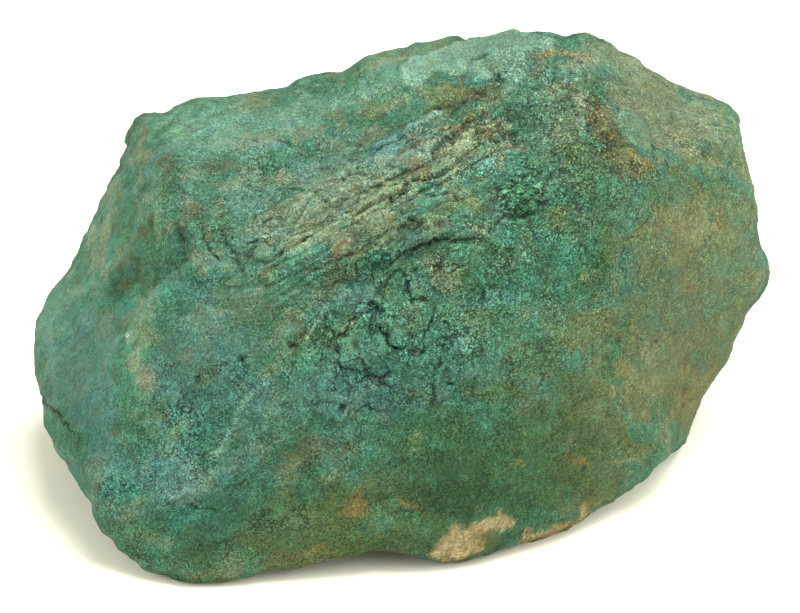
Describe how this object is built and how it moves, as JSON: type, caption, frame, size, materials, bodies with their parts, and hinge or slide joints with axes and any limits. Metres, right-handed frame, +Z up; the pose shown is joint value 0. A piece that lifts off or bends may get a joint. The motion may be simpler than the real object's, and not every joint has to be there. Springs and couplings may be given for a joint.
{
  "type": "woodwardite specimen",
  "caption": "Rough hand-sized stone coated with a blue-green crust of woodwardite, a blunt many-faceted block that lies on a flat place of its underside.",
  "frame": {"origin": "middle of the stone's bounding box, on the ground that it lies on", "axes": "+X along the stone's length towards its right end, +Y from the broad front face to the back, +Z up"},
  "size_m": [0.0794, 0.052, 0.0447],
  "materials": {
    "crust": "dull earthy mineral crust, blue-green with olive, tan and cream patches"
  },
  "bodies": {
    "root": {"woodwardite_stone": "crust"}
  },
  "joints": []
}
